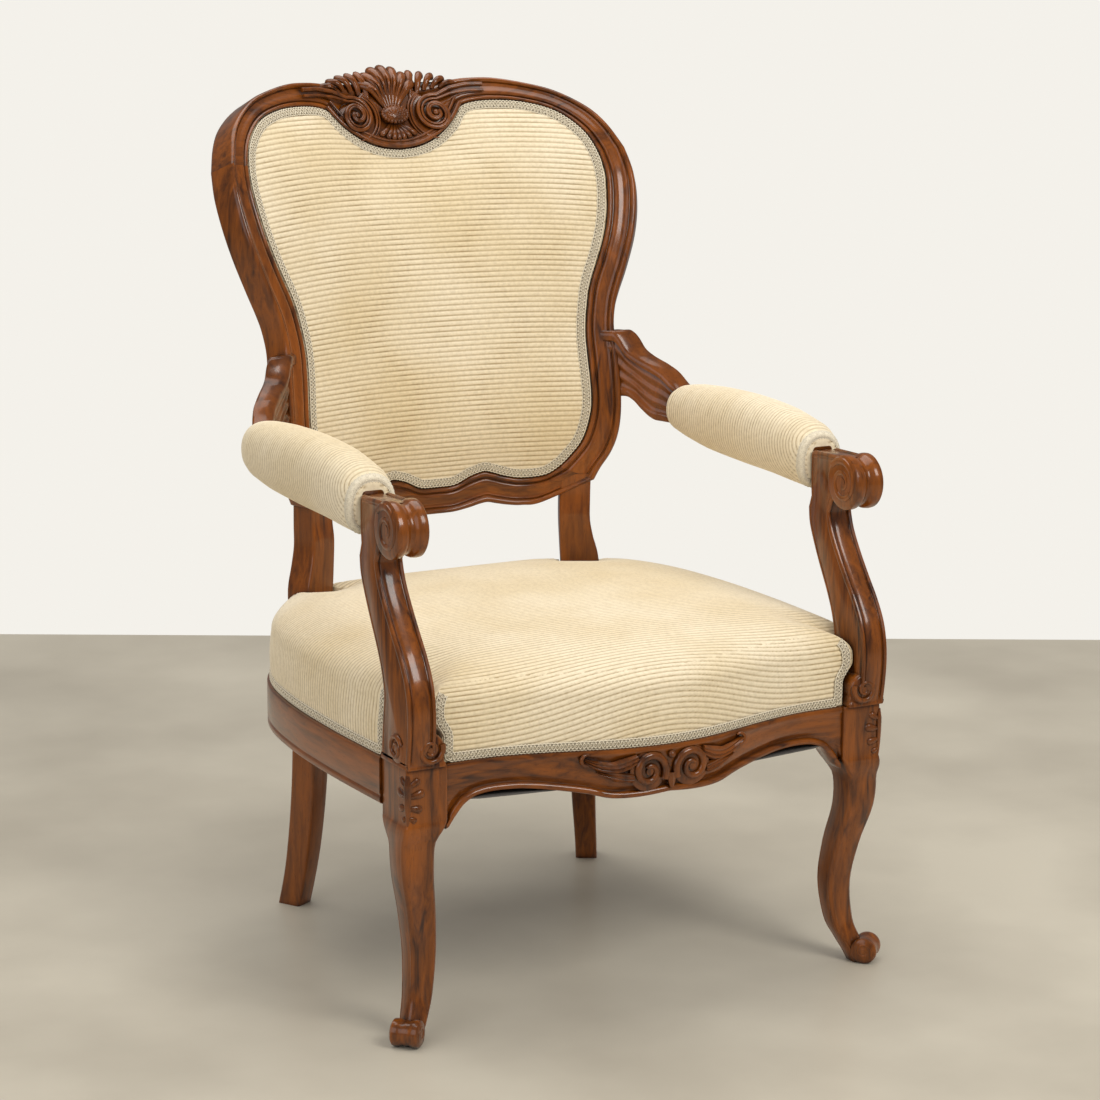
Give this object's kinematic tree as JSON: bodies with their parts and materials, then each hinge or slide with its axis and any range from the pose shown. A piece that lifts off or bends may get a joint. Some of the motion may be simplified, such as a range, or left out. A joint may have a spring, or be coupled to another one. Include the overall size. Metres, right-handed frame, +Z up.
{
  "type": "armchair",
  "caption": "Carved open armchair with a hollow padded back in a moulded frame, padded arms on scroll posts, a sprung stuffed seat and cabriole front legs.",
  "frame": {"origin": "on the floor under the middle of the chair's bounding box", "axes": "+Z up, -Y out of the front of the seat, +X to the right as one faces the chair"},
  "size_m": [0.6692, 0.79, 1.0493],
  "materials": {
    "walnut": "polished",
    "beech": "plain",
    "screw_steel": "plain",
    "spring_steel": "plain",
    "cover_cloth": "ribbed",
    "gimp": "braided",
    "webbing": "woven",
    "hessian": "coarse weave",
    "stuffing": "loose fibre",
    "dust_cloth": "plain weave"
  },
  "bodies": {
    "root": {"front_leg_left": "walnut", "front_leg_right": "walnut", "rear_stile_left": "walnut", "rear_stile_right": "walnut", "front_rail": "walnut", "side_rail_left": "walnut", "side_rail_right": "walnut", "rear_seat_rail": "walnut", "crest_rail": "walnut", "back_bottom_rail": "walnut", "arm_left": "walnut", "arm_right": "walnut", "arm_post_left": "walnut", "arm_post_right": "walnut", "corner_block_front_left": "beech", "corner_block_front_right": "beech", "corner_block_rear_left": "beech", "corner_block_rear_right": "beech", "corner_block_screws": "screw_steel", "frame_dowels": "beech", "post_dowels": "beech", "arm_dowels": "beech", "tenon_pegs": "beech", "seat_webbing": "webbing", "seat_springs": "spring_steel", "seat_hessian": "hessian", "seat_stuffing": "stuffing", "seat_cover": "cover_cloth", "seat_gimp_front": "gimp", "seat_gimp_side_left": "gimp", "seat_gimp_side_right": "gimp", "dust_cover": "dust_cloth", "back_webbing": "webbing", "back_hessian": "hessian", "back_stuffing": "stuffing", "back_cover": "cover_cloth", "back_gimp": "gimp", "outside_back_cover": "cover_cloth", "arm_pad_stuffing_left": "stuffing", "arm_pad_stuffing_right": "stuffing", "arm_pad_cover_left": "cover_cloth", "arm_pad_cover_right": "cover_cloth", "arm_pad_gimp_left": "gimp", "arm_pad_gimp_right": "gimp"}
  },
  "joints": []
}
